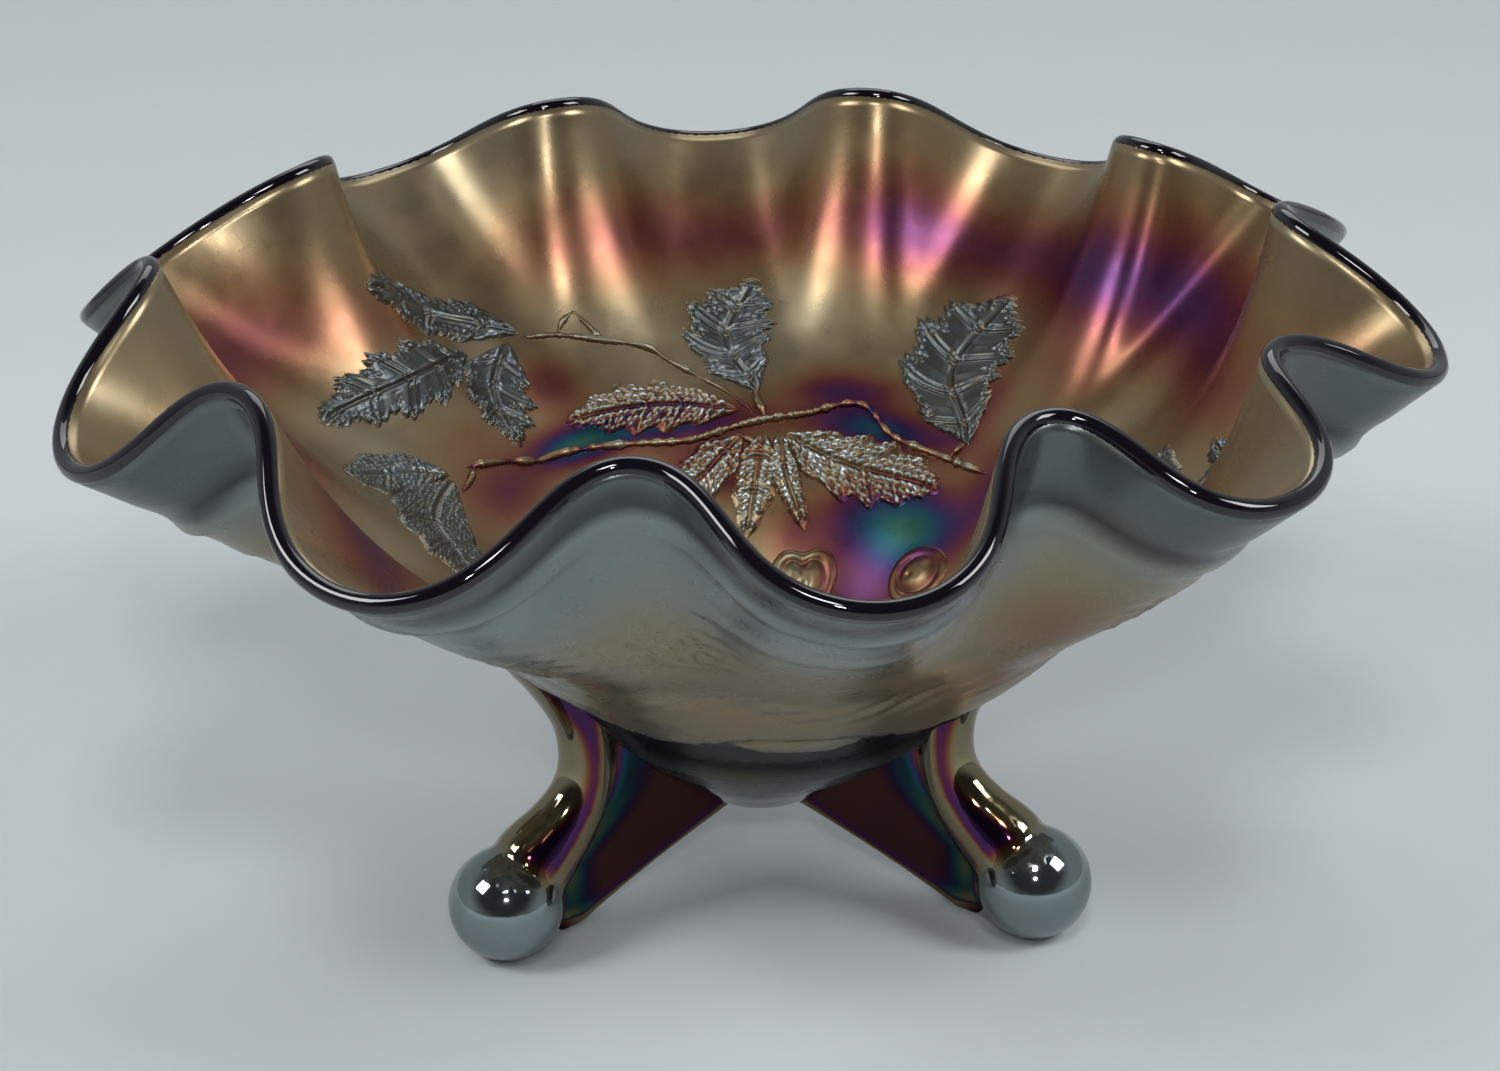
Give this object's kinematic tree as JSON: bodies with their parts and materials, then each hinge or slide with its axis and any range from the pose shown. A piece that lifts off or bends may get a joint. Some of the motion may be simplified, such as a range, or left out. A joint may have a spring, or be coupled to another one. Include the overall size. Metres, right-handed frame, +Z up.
{
  "type": "footed ruffled glass bowl",
  "caption": "Footed pressed-glass bowl with a deep crimped rim, iridescent finish and fruit-and-leaf relief inside; a display or serving bowl.",
  "frame": {"origin": "on the table under the middle of the crimped rim", "axes": "+Z up out of the bowl's mouth, +X to the right as seen from the front, -Y towards the front, between the two front feet"},
  "size_m": [0.232, 0.2326, 0.1229],
  "materials": {
    "inside_gold": "satin metallic iridescence, gold to purple, on dark pressed glass",
    "dark_rim": "fire-polished dark glass with a blue-violet sheen",
    "foot_gold": "glossy gold and bronze iridescence",
    "web_dark": "glossy dark glass with purple and teal fringes",
    "ball_silver": "mirror-like silver-blue iridescence",
    "relief_silver": "steel-blue iridescence on crisp relief",
    "relief_bronze": "bronze iridescence on crisp relief",
    "fruit_violet": "pearly iridescence on smooth relief"
  },
  "bodies": {
    "root": {"bowl_shell": "inside_gold", "rim_bead": "dark_rim", "foot_hub": "web_dark", "leg_left": "foot_gold", "web_left": "web_dark", "ball_foot_left": "ball_silver", "leg_right": "foot_gold", "web_right": "web_dark", "ball_foot_right": "ball_silver", "leg_back": "foot_gold", "web_back": "web_dark", "ball_foot_back": "ball_silver", "leaf_crown_back": "relief_silver", "leaf_beaded_back": "relief_silver", "leaf_curl_back": "relief_silver", "leaf_droop_back": "relief_silver", "leaf_sprig_back": "relief_silver", "leaf_broad_back": "relief_silver", "leaf_upright_back": "relief_silver", "twig_back": "relief_bronze", "shoot_back": "relief_bronze", "plum_back": "fruit_violet", "cherry_back": "fruit_violet", "leaf_crown_front": "relief_silver", "leaf_beaded_front": "relief_silver", "leaf_curl_front": "relief_silver", "leaf_droop_front": "relief_silver", "leaf_sprig_front": "relief_silver", "leaf_broad_front": "relief_silver", "leaf_upright_front": "relief_silver", "twig_front": "relief_bronze", "shoot_front": "relief_bronze", "plum_front": "fruit_violet", "cherry_front": "fruit_violet", "leaf_high_left": "relief_silver", "leaf_middle_left": "relief_silver", "leaf_low_left": "relief_silver", "leaf_pointed_left": "relief_silver", "leaf_hanging_left": "relief_silver", "leaf_high_right": "relief_silver", "leaf_middle_right": "relief_silver", "leaf_low_right": "relief_silver", "leaf_pointed_right": "relief_silver", "leaf_hanging_right": "relief_silver"}
  },
  "joints": []
}
